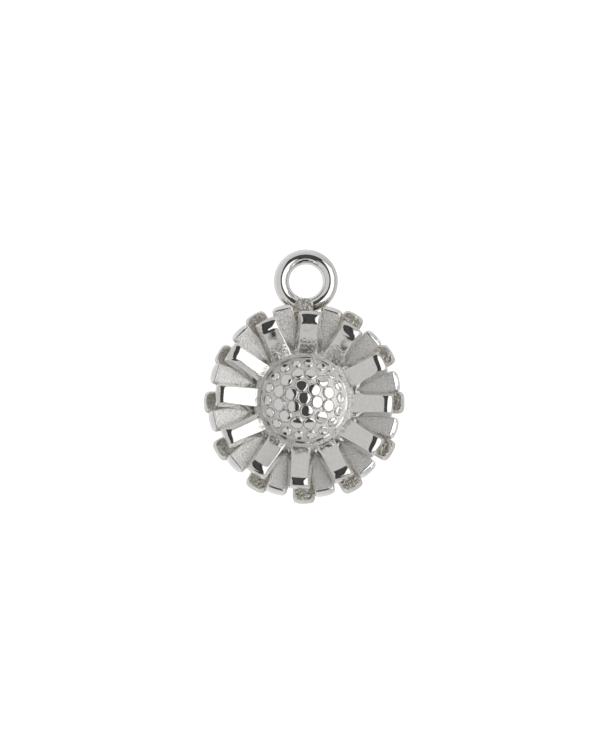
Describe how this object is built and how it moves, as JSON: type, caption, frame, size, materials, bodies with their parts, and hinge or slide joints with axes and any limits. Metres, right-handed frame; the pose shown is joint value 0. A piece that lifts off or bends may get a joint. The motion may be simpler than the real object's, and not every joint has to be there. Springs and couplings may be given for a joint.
{
  "type": "flower pendant",
  "caption": "Daisy pendant: stacked rosettes of blunt petals round a beaded dome, with a soldered round-wire hanging ring.",
  "frame": {"origin": "centre of the flower's back, on the plane that it lies on", "axes": "+Z out of the flower's face, +Y from the flower to its hanging ring, +X to the right seen from the front"},
  "size_m": [0.015, 0.0189, 0.0043],
  "materials": {
    "cast_silver": "sterling silver, rough from casting and slightly toned, with polished edges and ring",
    "satin_silver": "rhodium-plated sterling silver, fine matte grain",
    "polished_silver": "rhodium-plated sterling silver, hand polished"
  },
  "bodies": {
    "root": {"lower_petals": "cast_silver", "middle_petals": "satin_silver", "upper_petals": "polished_silver", "beaded_centre": "polished_silver"}
  },
  "joints": []
}
